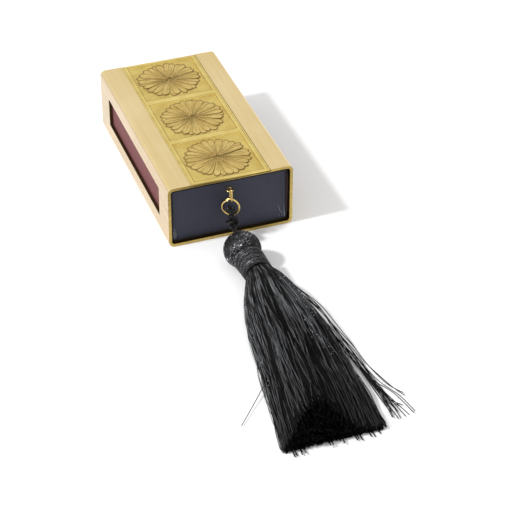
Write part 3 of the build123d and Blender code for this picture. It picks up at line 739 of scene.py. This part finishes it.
# Matches. Square splints of pale wood in two layers, with dipped heads that swell towards
# the middle and all lie at the pull's end of the tray.
splint_finish, tree, shader = new_finish("splint_wood", 0.0, 0.7)
fibre = grain(tree, 1500, (1, 0.05, 1), 5)
set_color(tree, shader, ramp(tree, fibre, 0.35, 0.65), (0.76, 0.57, 0.34), (0.60, 0.41, 0.21))
set_relief(tree, shader, fibre, 0.00005)
dip_finish, tree, shader = new_finish("match_head_dip", 0.0, 0.6)
crumb = grain(tree, 2600)
set_color(tree, shader, crumb, (0.40, 0.035, 0.025), (0.20, 0.018, 0.014))
set_relief(tree, shader, crumb, 0.00012)
match_marks = random.Random(11)
match_pitch = 3.6
splints = bmesh.new()
dips = bmesh.new()
for layer_z, match_count in ((5.25, 15), (8.19, 14)):
    for index in range(match_count):
        x = match_pitch * (index - (match_count - 1) / 2)
        slide = match_marks.uniform(-0.3, 0.3)
        splint = add_box(splints, (2.2, 95.6, 2.2), (0, 0, 0))
        long_edges = [
            edge for edge in splints.edges
            if edge.verts[0] in splint and abs(edge.verts[0].co.y - edge.verts[1].co.y) > 1
        ]
        eased = ease_edges(splints, long_edges, 0.18, 1)
        splint = list({vert for face in eased["faces"] for vert in face.verts})
        roll = Matrix.Rotation(match_marks.uniform(-0.06, 0.06), 3, "Y")
        bmesh.ops.rotate(splints, cent=(0, 0, 0), matrix=roll, verts=splint)
        bmesh.ops.translate(splints, vec=(x, 2.1 + slide, layer_z), verts=splint)
        dip = bmesh.ops.create_uvsphere(dips, u_segments=10, v_segments=8, radius=1.0)["verts"]
        for vert in dip:
            swell = 1.62 * (1 + 0.05 * noise.noise(vert.co * 2 + Vector((index, layer_z, 0))))
            flat = 0.93 if vert.co.z > 0.5 else 1
            vert.co = (vert.co.x * swell, vert.co.z * 2.7, vert.co.y * swell * flat)
        bmesh.ops.translate(dips, vec=(x, -47.2 + slide, layer_z), verts=dip)
for sort, name, finish, slot_name, node in (
    (splints, "match_splints", splint_finish, "splint_wood", "match_sticks"),
    (dips, "match_dips", dip_finish, "match_head", "match_heads"),
):
    bmesh.ops.recalc_face_normals(sort, faces=sort.faces)
    keep_piece(name, mesh_from(sort, name, finish), "tray", slot_name, node)


# Split pin. One soft brass wire: its eye stands out in front of the tray, and its two legs
# go in through one hole and are opened out flat against the inside of the board.
wire_finish = satin_brass("polished_wire_brass", (0.84, 0.62, 0.25), (0.58, 0.40, 0.12), 0.22)
pin_middle = Vector((-0.6, -60.158, 27.7))
pin_points = [
    (7.2, 4.1), (4.0, 4.12), (1.6, 4.12), (0.75, 3.95),
    (0.45, 3.5), (0.45, 2.7), (0.52, 2.1), (0.8, 1.62),
]
pin_angles = [math.radians(degrees) for degrees in (42, 18, -8, -35, -62, -90)]
pin_points += [(1.8 * math.cos(angle), 1.8 * math.sin(angle)) for angle in pin_angles]
pin_line = pin_points + [(-x, y) for x, y in reversed(pin_points[:-1])]
pin_line = [(pin_middle.x + x, pin_middle.y + y, pin_middle.z) for x, y in pin_line]
thin_wire = 0.4
pin_mesh = draw_lines("pin", [pin_line], thin_wire, 12, "NURBS")
keep_piece("split_pin_wire", pin_mesh, "tray", "wire_brass", "split_pin", finish=wire_finish)


# Small link. A closed oval of the same wire, hung in the eye.
link_middle = Vector((-0.6, -61.958, 25.35))
link_end_radius = 1.5
link_line = []
for turn_angle in range(0, 360, 15):
    angle = math.radians(turn_angle)
    straight = math.copysign(1.9, math.sin(angle)) if turn_angle % 180 else 0
    link_line.append((
        link_middle.x,
        link_middle.y + link_end_radius * math.cos(angle),
        link_middle.z + straight + link_end_radius * math.sin(angle),
    ))
link_mesh = draw_lines("link", [link_line], thin_wire, 12, "NURBS", closed=True)
keep_piece("small_link_wire", link_mesh, "link", "wire_brass", "small_link", finish=wire_finish)


# Jump ring. A ring of thicker wire, sprung open a little like one turn of a spring, so that
# its cut ends pass side by side at the upper left.
turn = math.radians(32.0)
ring_radius = 4.3
ring_lean = 7.1
ring_along = Vector((math.cos(turn), -math.sin(turn), 0))
ring_front = Vector((-math.sin(turn), -math.cos(turn), 0))
ring_top = Vector((-0.6, -61.958, 23.1))


def leaning_up(degrees):
    """Give the upward direction of a half ring that leans back by so many degrees."""
    lean = math.radians(degrees)
    return Vector((0, 0, 1)) * math.cos(lean) - ring_front * math.sin(lean)


ring_foot = ring_top - leaning_up(ring_lean) * (2 * ring_radius)
ring_line = []
for step in range(97):
    angle = math.radians(-166 + 382 * step / 96)
    up = leaning_up(ring_lean if angle > 0 else -1.1)
    reach = up * (1 - math.cos(angle)) + ring_along * math.sin(angle)
    ring_line.append(ring_foot + reach * ring_radius)
ring_mesh = draw_lines("ring", [ring_line], 0.54, 14)
keep_piece("jump_ring_wire", ring_mesh, "ring", "wire_brass", "jump_ring", finish=wire_finish)


# Cord knot. The cord is hitched over the ring's wire, and under the ring its own tail is
# knotted once round both legs and drawn tight, so that it lies as two hard dark lumps.
def black_thread(name, first, second, roughness, gloss):
    """Make a black yarn with a soft satin shine."""
    finish, tree, shader = new_finish(name, 0.0, roughness, gloss=gloss)
    fibre = grain(tree, 1500, (1, 0.2, 1), 3)
    cloud = grain(tree, 160, (1, 0.15, 1), 3)
    share = ramp(tree, work(tree, "ADD", fibre, cloud), 0.8, 1.25)
    set_color(tree, shader, share, first, second)
    set_relief(tree, shader, fibre, 0.00004)
    return finish


cord_finish = black_thread("black_cord", (0.003, 0.003, 0.0035), (0.010, 0.010, 0.011), 0.34, 0.3)
cord_piece.data.materials.append(cord_finish)
left_rear, left_front, right_front, right_rear = [
    Vector(cord_route[index]) for index in (3, 2, 9, 8)
]
knot_middle = (left_rear + left_front + right_front + right_rear) / 4
knot_way = (left_front + right_front - left_rear - right_rear).normalized()
knot_side = (left_rear - right_rear).normalized()
knot_up = knot_side.cross(knot_way)
knot_route = []
for step in range(31):
    angle = 0.12 + (2 * math.pi - 0.24) * step / 30
    spread = 2.25 + 0.85 * math.cos(3 * angle)
    round_legs = knot_side * math.cos(2 * angle) + knot_up * math.sin(2 * angle)
    knot_route.append(knot_middle + round_legs * spread + knot_way * (1.75 * math.sin(3 * angle)))
hitch_route = []
for step in range(23):
    angle = 2 * math.pi * step / 10 + 2.2
    hitch_route.append((
        -0.95 + 1.25 * math.cos(angle),
        -63.15 + 1.45 * math.sin(angle),
        16.7 + 0.075 * step + 0.25 * math.sin(angle),
    ))
knot_plies = wind_plies(along_spline(knot_route), 3, 0.42, 3.6)
knot_plies += wind_plies(along_spline(hitch_route), 3, 0.36, 3.2)
knot_mesh = draw_lines("knot", knot_plies, 0.46, 8)
keep_piece("cord_knot_turns", knot_mesh, "tassel", "cord_black", "cord_knot", finish=cord_finish)


# Head. A round wooden bead inside a fine black net, which is drawn together at both poles.
# Fine metal flakes are caught in the net, thickest in a band across its upper left.
head_middle = Vector((-3.3, -86.6, 9.6))
cover_radius = 9.3
net_finish = black_thread("black_net", (0.0035, 0.0035, 0.004), (0.013, 0.012, 0.013), 0.4, 0.25)
flake_finish, tree, shader = new_finish("net_flakes", 0.9, 0.38)
tone = ramp(tree, grain(tree, 900, detail=1), 0.35, 0.65)
set_color(tree, shader, tone, (0.12, 0.12, 0.14), (0.80, 0.80, 0.86))
dress("head_bead", raw_card("bead_wood", (0.20, 0.13, 0.075), (0.13, 0.08, 0.045)))
bm = bmesh.new()
lie_down = Matrix.Rotation(math.radians(90), 4, "X")
bmesh.ops.create_uvsphere(bm, u_segments=96, v_segments=64, radius=cover_radius, matrix=lie_down)
for vert in bm.verts:
    turn_angle = math.atan2(vert.co.z, vert.co.x)
    pole = max(0.0, abs(vert.co.y) / cover_radius - 0.55) / 0.45
    pleat = 0.16 * pole * math.sin(turn_angle * 22 + 1.2 * math.sin(turn_angle * 3))
    lump = 0.10 * noise.noise(vert.co * 0.45)
    vert.co *= 1 + (pleat + lump) / cover_radius
bmesh.ops.translate(bm, vec=head_middle, verts=bm.verts)
head_mesh = mesh_from(bm, "head", net_finish)
keep_piece("head_cover_cloth", head_mesh, "tassel", "net_black", "head_cover")

net_strands = 60
net_lines = []
for family in (1, -1):
    for strand in range(net_strands):
        line = []
        for step in range(21):
            polar = math.radians(14 + 152 * step / 20)
            angle = 2 * math.pi * strand / net_strands + family * 0.9 * (step / 20)
            level = math.sin(polar)
            out = Vector((level * math.cos(angle), math.cos(polar), level * math.sin(angle)))
            line.append(head_middle + 9.4 * out)
        net_lines.append(line)
net_mesh = draw_lines("net", net_lines, 0.085, 4)
keep_piece("head_net", net_mesh, "tassel", "net_black", finish=net_finish)

bm = bmesh.new()
bmesh.ops.create_cone(bm, cap_ends=True, segments=3, radius1=1, radius2=0, depth=0.9)
flake_seed = mesh_from(bm, "flake_seed")


def scatter_flakes(name, places, finish, smallest, largest, marks):
    """Stick small flakes on the tassel at the given places, each with its own tilt."""
    bm = bmesh.new()
    for place in places:
        turn_by = marks.uniform(0, 6.28)
        turned = Matrix.Rotation(turn_by, 4, Vector([marks.gauss(0, 1) for _ in range(3)]))
        sized = Matrix.Scale(marks.uniform(smallest, largest), 4)
        settled = Matrix.Translation(place) @ turned @ sized
        flake_seed.transform(settled)
        bm.from_mesh(flake_seed)
        flake_seed.transform(settled.inverted())
    keep_piece(name, mesh_from(bm, name, finish), "tassel", "net_black", smooth=False)


flake_marks = random.Random(5)
band_across = Vector((0.732, -0.564, -0.375))
fine_count = 3400
large_count = 600
flake_places = []
while len(flake_places) < fine_count + large_count:
    out = Vector([flake_marks.gauss(0, 1) for _ in range(3)]).normalized()
    chance = 0.10 + 0.9 * math.exp(-((out.dot(band_across) + 0.24) / 0.3) ** 2)
    chance *= 0.3 + 1.1 * max(0.0, 0.5 + noise.noise(out * 3.1))
    if abs(out.y) < 0.97 and flake_marks.random() < chance:
        flake_places.append(head_middle + out * 9.46)
scatter_flakes("head_net_flakes", flake_places[:fine_count], flake_finish, 0.07, 0.12, flake_marks)
scatter_flakes("head_large_flakes", flake_places[fine_count:], flake_finish, 0.2, 0.33, flake_marks)


# Neck binding. A single heavy thread wound close round the neck, over the gathered ends of
# the net, in a few soft bands that taper towards the skirt.
binding_finish = black_thread(
    "black_binding", (0.006, 0.006, 0.0065), (0.024, 0.024, 0.025), 0.34, 0.35
)
binding_start = 95.0
binding_length = 13.0
binding_turns = 16
binding_line = []


def neck_point(forward, slant, angle, proud):
    """Give a place on the wound neck: soft bands, each a little fuller in the middle."""
    along = slant - binding_start
    band = abs(math.sin(math.pi * along / 2.9))
    radius = 6.95 - 0.45 * along / binding_length + 0.65 * band ** 0.7 + proud
    centre = 0.65 * (forward - binding_start) / binding_length - 2.95
    side = centre + radius * math.cos(angle)
    return Vector((side, -slant, head_middle.z + radius * math.sin(angle)))


for step in range(binding_turns * 32 + 1):
    angle = 2 * math.pi * step / 32
    forward = binding_start + binding_length * step / (binding_turns * 32)
    slant = forward + 0.55 * math.sin(angle + 0.8)
    proud = 0.05 * noise.noise(Vector((angle * 1.3, 0, 0))) - 0.25
    binding_line.append(neck_point(forward, slant, angle, proud))
binding_mesh = draw_lines("binding", [binding_line], 0.47, 6)
binding_mesh.materials.append(binding_finish)
keep_piece("neck_binding_thread", binding_mesh, "tassel", "thread_black", "neck_binding")
bm = bmesh.new()
core_place = Matrix.Translation((-2.65, -100.4, head_middle.z)) @ lie_down
bmesh.ops.create_cone(
    bm, cap_ends=True, segments=48, radius1=7.15, radius2=6.4, depth=12, matrix=core_place
)
keep_piece("neck_core", mesh_from(bm, "neck_core", net_finish), "tassel", "thread_black")
flake_places = []
for _ in range(800):
    forward = flake_marks.uniform(binding_start, binding_start + 12)
    angle = flake_marks.gauss(2.1, 0.42)
    flake_places.append(neck_point(forward, forward, angle, 0.25))
scatter_flakes("neck_flakes", flake_places, flake_finish, 0.07, 0.15, flake_marks)


# Skirt. Thousands of fine black threads, tied in one bundle under the binding. They fan
# out in locks, sink to the table and are trimmed at the end, apart from a few that stray.
skirt_root = 106.5
heap_side = -0.38
skirt_stations = (
    # forward, centre, half width, lowest, highest
    (skirt_root, -2.3, 6.0, 3.6, 15.6),
    (111.5, -2.0, 8.1, 2.2, 16.6),
    (118.0, -1.8, 11.2, 0.8, 17.2),
    (128.0, -2.4, 14.4, 0.2, 17.4),
    (141.0, -3.1, 16.5, 0.1, 17.4),
    (157.0, -3.3, 18.1, 0.1, 17.4),
    (185.0, -5.1, 20.6, 0.1, 17.9),
    (203.0, -6.4, 22.0, 0.1, 18.6),
    (221.0, -8.1, 23.1, 0.1, 19.2),
)


def skirt_section(forward):
    """Read the skirt's centre, half width, lowest and highest place at one station."""
    for near, far in zip(skirt_stations, skirt_stations[1:]):
        if forward <= far[0] or far is skirt_stations[-1]:
            share = (forward - near[0]) / (far[0] - near[0])
            return [a + (b - a) * share for a, b in zip(near[1:], far[1:])]


def thread_point(across, up, forward):
    """Give a thread's place at one station, from its place in the bundle."""
    centre, half_width, low, high = skirt_section(forward)
    settle = min(1.0, (forward - skirt_root) / 52)
    chord = math.sqrt(max(0.02, 1 - across * across))
    middle = (low + high) / 2
    half_height = (high - low) / 2
    top = middle + half_height * (chord * (1 - settle) + (2 * chord ** 0.9 - 1) * settle)
    bottom = middle - half_height * (chord * (1 - settle) + settle)
    flop = max(0.0, (forward - 150) / 71) ** 1.4
    heap = math.exp(-((across - heap_side) / (0.44 if across < heap_side else 0.72)) ** 2)
    top += (low + (high - low) * max(0.08, heap) - top) * flop
    height = bottom + (top - bottom) * (up / chord + 1) / 2
    return Vector((centre + half_width * across, -forward, height))


def thread_line(across, up, phase, loose, stop, steps):
    """Draw one thread through the skirt, swaying with its lock."""
    line = []
    for step in range(steps + 1):
        share = step / steps
        place = thread_point(across, up, skirt_root + (stop - skirt_root) * share)
        sway = loose * min(1.0, 2 * share)
        drift = math.sin(4.4 * share + phase[0]) + 0.45 * math.sin(11 * share + phase[1])
        place.x += sway * drift
        rise = math.sin(5.2 * share + phase[2]) + 0.45 * math.sin(12 * share + phase[3])
        place.z += 0.6 * sway * rise
        place.z = max(0.25, place.z)
        line.append(place)
    return line


def comb_threads(name, count, seed, inner, radius, loose, locks, finish, steps=12):
    """Comb one layer of the skirt's threads, lock by lock, and hang it on the tassel."""
    marks = random.Random(seed)
    bunches = []
    for _ in range(locks):
        reach = math.sqrt(marks.uniform(inner ** 2, 1))
        angle = marks.uniform(0, 2 * math.pi)
        phase = [marks.uniform(0, 6.28) for _ in range(4)]
        sway = loose * marks.uniform(0.4, 1.3)
        short = marks.uniform(0, 5)
        bunches.append((reach * math.cos(angle), reach * math.sin(angle), phase, sway, short))
    lines = []
    widths = []
    for index in range(count):
        across, up, phase, sway, short = bunches[index % locks]
        if locks < count:
            across += marks.gauss(0, 0.034)
            up += marks.gauss(0, 0.034)
            phase = [value + marks.gauss(0, 0.25) for value in phase]
        reach = max(1.0, math.hypot(across, up))
        height = max(0.0, up / reach)
        heap = height * math.exp(-((across - heap_side) / 0.6) ** 2)
        stop = 222.0 - 7.5 * heap ** 1.5 - short * (0.25 + heap)
        stop -= abs(marks.gauss(0, 1.7 + 2.6 * heap))
        lines.append(thread_line(across / reach, up / reach, phase, sway, stop, steps))
        width = marks.uniform(0.75, 1.2)
        widths.append([width * (0.8 + 0.2 * step / steps) for step in range(steps + 1)])
    nodes = ["skirt"] if inner == 0 else []
    mesh = draw_lines(name, lines, radius, 3, widths=widths)
    keep_piece(name, mesh, "tassel", "thread_black", *nodes, finish=finish, crease=180)


def skirt_thread(name, first, second, roughness, gloss):
    """Make a black rayon thread, with painted shade that darkens it towards the skirt's cut end."""
    finish, tree, shader = new_finish(name, 0.0, roughness, gloss=gloss)
    fibre = grain(tree, 700, (1, 0.06, 1), 3)
    length = add(tree, "SeparateXYZ", {0: object_place(tree)}).outputs["Y"]
    end_shade = ramp(tree, length, -0.212, -0.14, 0.12, 1)
    share = work(tree, "MULTIPLY", ramp(tree, fibre, 0.4, 0.62), end_shade)
    set_color(tree, shader, share, first, second)
    return finish


thread_finish = skirt_thread(
    "black_thread", (0.0014, 0.0014, 0.0016), (0.0062, 0.0065, 0.0072), 0.45, 0.1
)
# Painted highlight: lighter grey loose threads on top of the skirt stand in for the shine along the
# black threads.
highlight_thread_finish = skirt_thread("thread_painted_highlight", (0.010, 0.010, 0.011), (0.17, 0.175, 0.185), 0.4, 0.4)
comb_threads("skirt_core_threads", 2600, 21, 0.0, 0.30, 0.3, 400, thread_finish, 9)
comb_threads("skirt_outer_threads", 2400, 22, 0.88, 0.21, 0.9, 170, thread_finish)
comb_threads("skirt_loose_highlight_threads", 440, 23, 0.97, 0.17, 1.8, 440, highlight_thread_finish)

spark_finish = new_finish("skirt_sparks", 1.0, 0.45, (0.85, 0.87, 0.95))[0]
spark_places = []
for _ in range(110):
    across = flake_marks.choice((0.35, 0.6, 0.75, 0.85, 0.9)) + flake_marks.uniform(-0.1, 0.1)
    if flake_marks.random() < 0.16:
        across = -0.97
    up = math.sqrt(1 - across * across) * 1.03
    forward = flake_marks.choice((118, 135, 150, 165, 175)) + flake_marks.uniform(-8, 8)
    spark_places.append(thread_point(across, up, forward) + Vector((0, 0, 0.9)))
scatter_flakes("skirt_sparks", spark_places, spark_finish, 0.15, 0.38, flake_marks)

stray_paths = (
    ((9.5, -118, 10), (12.5, -126.6, 9), (17.1, -134, 6), (20.4, -148, 3), (23, -163, 1),
     (23.9, -176, 0.7), (26.2, -186, 0.6), (28.7, -198, 0.6), (33, -203, 0.6)),
    ((9.5, -118, 9), (12.5, -126.6, 8.6), (16.6, -138, 6), (18.7, -154.6, 3), (20.5, -172, 1),
     (22.5, -190, 0.6), (26.3, -197, 0.6), (29, -205, 0.6), (30.5, -215.7, 0.6)),
    ((10, -122, 9), (12.8, -132, 8), (17.3, -148, 5.6), (20.3, -160.6, 2.6), (22.7, -172, 0.9),
     (22.8, -191, 0.6), (25.2, -205, 0.6), (27.3, -217.8, 0.6)),
    ((10.5, -128, 9), (13.3, -137, 8), (16.1, -150.7, 5.5), (18.1, -163.7, 2.6), (20.8, -170.6, 1),
     (21.7, -187.6, 0.6), (23.9, -194.3, 0.6), (25.5, -206.5, 0.6), (28.4, -210, 0.6)),
    ((10.5, -128, 8), (13.2, -138.6, 7.5), (15.9, -153.8, 5.2), (18.9, -168, 2.6),
     (21.6, -178.5, 0.9), (22.7, -190, 0.6), (23.3, -207, 0.6), (23.1, -217, 0.6)),
    ((14.5, -138, 5), (16.7, -147, 4), (18.3, -160.6, 2.5), (19, -175, 1), (19.7, -185.4, 0.6),
     (20.4, -199, 0.6), (21.2, -213.5, 0.6)),
    ((10, -121, 9), (13, -131, 8.6), (16.7, -143, 5.6), (19.5, -156.4, 2.4), (21.8, -163.3, 1),
     (22.5, -183.4, 0.6), (23.2, -202.8, 0.6), (21.7, -215, 0.6)),
    ((15, -141, 5), (17.5, -151, 4), (17.9, -169, 2.4), (21, -177.3, 1), (22.1, -189, 0.6),
     (23.3, -201.4, 0.6), (25.8, -213.7, 0.6)),
)
stray_marks = random.Random(3)
stray_lines = []
for path in stray_paths:
    for _ in range(2):
        shift = Vector((stray_marks.uniform(-0.7, 1.2), stray_marks.uniform(-1, 1), 0.2))
        line = []
        for index, point in enumerate(path):
            wave = Vector((stray_marks.uniform(-1.2, 1.2), stray_marks.uniform(-1, 1), 0.0))
            line.append(Vector(point) + (shift + wave) * min(1.0, index / 2))
        stray_lines.append(line)
stray_lines.append([
    (-16, -168, 5), (-22, -175, 3), (-26.3, -179, 2), (-35, -189, 1), (-43.5, -198.6, 0.6),
])
thin_count = len(stray_lines)
for _ in range(26):
    across = stray_marks.uniform(-0.95, 0.95)
    up = -0.8 * math.sqrt(1 - across * across)
    ends = [thread_point(across, up, forward) for forward in (190, 212)]
    reach = stray_marks.uniform(-0.1, 1.0)
    tip = Vector((stray_marks.uniform(-0.8, 0.8), -9.5 - 4.5 * reach, 0))
    stray_lines.append([*ends, ends[1] + tip])
stray_widths = [
    [1.0 if index < thin_count else 1.5] * len(line) for index, line in enumerate(stray_lines)
]
stray_mesh = draw_lines("strays", stray_lines, 0.19, 5, "NURBS", widths=stray_widths)
keep_piece(
    "skirt_stray_threads", stray_mesh, "tassel", "thread_black", finish=thread_finish, crease=180
)


# Setting. A white table top in a pale room, with one key light from the left, so that the
# holder's shadow falls to the right with a fairly clear edge.
table_finish = new_finish("white_table", 0.0, 0.9, (0.95, 0.95, 0.95))[0]
bm = bmesh.new()
bmesh.ops.create_grid(bm, x_segments=1, y_segments=1, size=6)
bmesh.ops.translate(bm, vec=(0, 0, -0.0002), verts=bm.verts)
floor = new_object("floor", mesh_from(bm, "floor", table_finish))

room = bpy.data.worlds.new("room")
bpy.context.scene.world = room
room.use_nodes = True
background = room.node_tree.nodes["Background"]
background.inputs["Color"].default_value = (1.0, 1.0, 1.0, 1)
background.inputs["Strength"].default_value = 0.83
key = bpy.data.lights.new("key_light", "AREA")
key.shape = "DISK"
key.size = 0.16
key.energy = 15.0
lamp = new_object("key_light", key)
lamp.location = (-0.98, -0.06, 1.06)
lamp_aim = Vector((0, -0.05, 0.02)) - lamp.location
lamp.rotation_euler = lamp_aim.to_track_quat("-Z", "Y").to_euler()
bpy.context.scene.view_settings.view_transform = "Standard"
